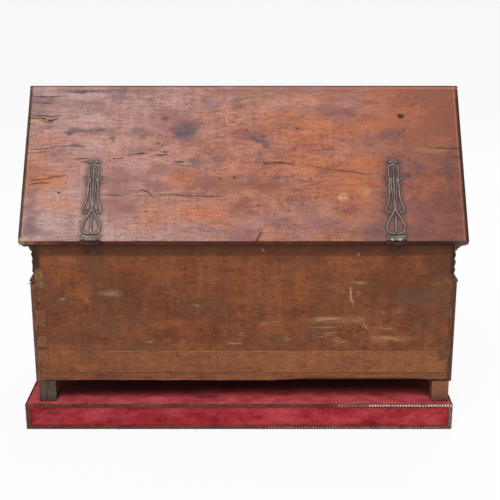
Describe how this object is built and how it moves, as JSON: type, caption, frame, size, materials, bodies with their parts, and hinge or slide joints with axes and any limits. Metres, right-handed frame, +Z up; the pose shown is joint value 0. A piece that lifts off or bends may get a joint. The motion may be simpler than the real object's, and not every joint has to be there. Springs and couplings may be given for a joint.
{
  "type": "donation box",
  "caption": "House-roofed wooden donation chest with dovetailed walls, a hinged gable lid on iron straps, a coin slot and a lock, on a velvet-covered plinth.",
  "frame": {"origin": "on the surface the plinth stands on, under the middle of the chest and its ridge", "axes": "+X along the chest to the right as the plain back is seen, +Y from the back to the front, +Z up"},
  "size_m": [0.7952, 0.3823, 0.607],
  "materials": {
    "lid_wood": "old varnish, worn satin",
    "carcass_wood": "bare, aged",
    "moulding_wood": "old varnish",
    "foot_wood": "bare, dark",
    "plinth_wood": "bare softwood",
    "velvet": "worn pile",
    "braid": "tarnished woven trim",
    "iron": "forged, dull brown"
  },
  "bodies": {
    "chest": {"plinth_rail_rear": "plinth_wood", "plinth_rail_front": "plinth_wood", "plinth_rail_left": "plinth_wood", "plinth_rail_right": "plinth_wood", "plinth_top_board": "plinth_wood", "plinth_base_board": "plinth_wood", "plinth_velvet": "velvet", "plinth_braid_top": "braid", "plinth_braid_bottom": "braid", "plinth_braid_corners": "braid", "foot_rear_left": "foot_wood", "foot_rear_right": "foot_wood", "foot_front_left": "foot_wood", "foot_front_right": "foot_wood", "bottom_board": "carcass_wood", "back_plank_lower": "carcass_wood", "back_plank_upper": "carcass_wood", "front_plank_lower": "carcass_wood", "front_plank_upper": "carcass_wood", "side_board_left": "carcass_wood", "side_board_right": "carcass_wood", "facing_left": "moulding_wood", "facing_right": "moulding_wood", "facing_front": "moulding_wood", "ledge_left": "moulding_wood", "ledge_right": "moulding_wood", "ledge_front": "moulding_wood", "frieze_left": "moulding_wood", "frieze_right": "moulding_wood", "frieze_front": "moulding_wood", "cornice_left": "moulding_wood", "cornice_right": "moulding_wood", "cornice_front": "moulding_wood", "hinge_leaf_left": "iron", "hinge_leaf_right": "iron", "hinge_pin_left": "iron", "hinge_pin_right": "iron", "leaf_nails": "iron", "lock_case": "iron", "lock_guides": "iron", "escutcheon": "iron", "escutcheon_nails": "iron"},
    "lid": {"lid_rear_slope": "lid_wood", "lid_front_slope": "lid_wood", "lid_gable_left": "lid_wood", "lid_gable_right": "lid_wood", "lid_batten_rear": "lid_wood", "lid_batten_front": "lid_wood", "hinge_strap_left": "iron", "hinge_strap_right": "iron", "strap_nails": "iron", "coin_slot_plate": "iron", "coin_plate_nails": "iron", "lock_staple": "iron", "staple_nails": "iron"},
    "bolt": {"lock_bolt": "iron"}
  },
  "joints": [
    {"name": "lid_hinge", "type": "hinge", "parent": "chest", "child": "lid", "pos_m": [0, -0.18994, 0.35935], "axis": [1, 0, 0], "range_deg": [0, 100]},
    {"name": "bolt_slide", "type": "slide", "parent": "chest", "child": "bolt", "axis": [-1, 0, 0], "range_m": [0, 0.014]}
  ]
}
